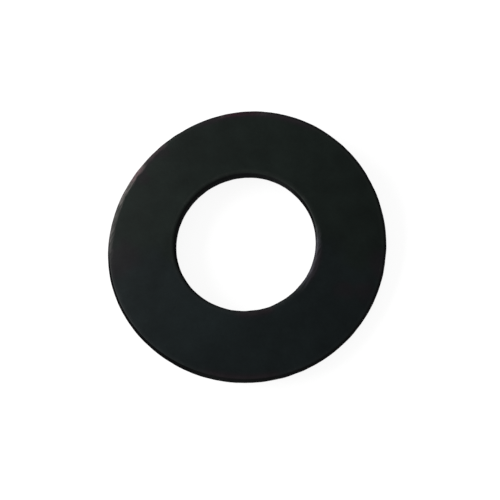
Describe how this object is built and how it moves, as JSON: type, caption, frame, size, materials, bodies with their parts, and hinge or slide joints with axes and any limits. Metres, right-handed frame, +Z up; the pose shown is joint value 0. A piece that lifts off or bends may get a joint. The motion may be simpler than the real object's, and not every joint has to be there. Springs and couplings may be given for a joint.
{
  "type": "saddle spring washer",
  "caption": "Round spring washer of blackened spring steel, curved into a shallow saddle about one line across its bolt hole, so that it presses back when it is clamped.",
  "frame": {"origin": "on the bolt hole's axis, at the level that the two low ends rest on", "axes": "+Z up along the bolt, out of the convex side; Y along the crest; the sheet curves down towards +X and -X"},
  "size_m": [0.021, 0.021, 0.0021],
  "materials": {
    "blackened_steel": "black oxide coat on hardened spring steel, satin and very slightly mottled, a little worn at the edges"
  },
  "bodies": {
    "root": {"saddle_washer": "blackened_steel"}
  },
  "joints": []
}
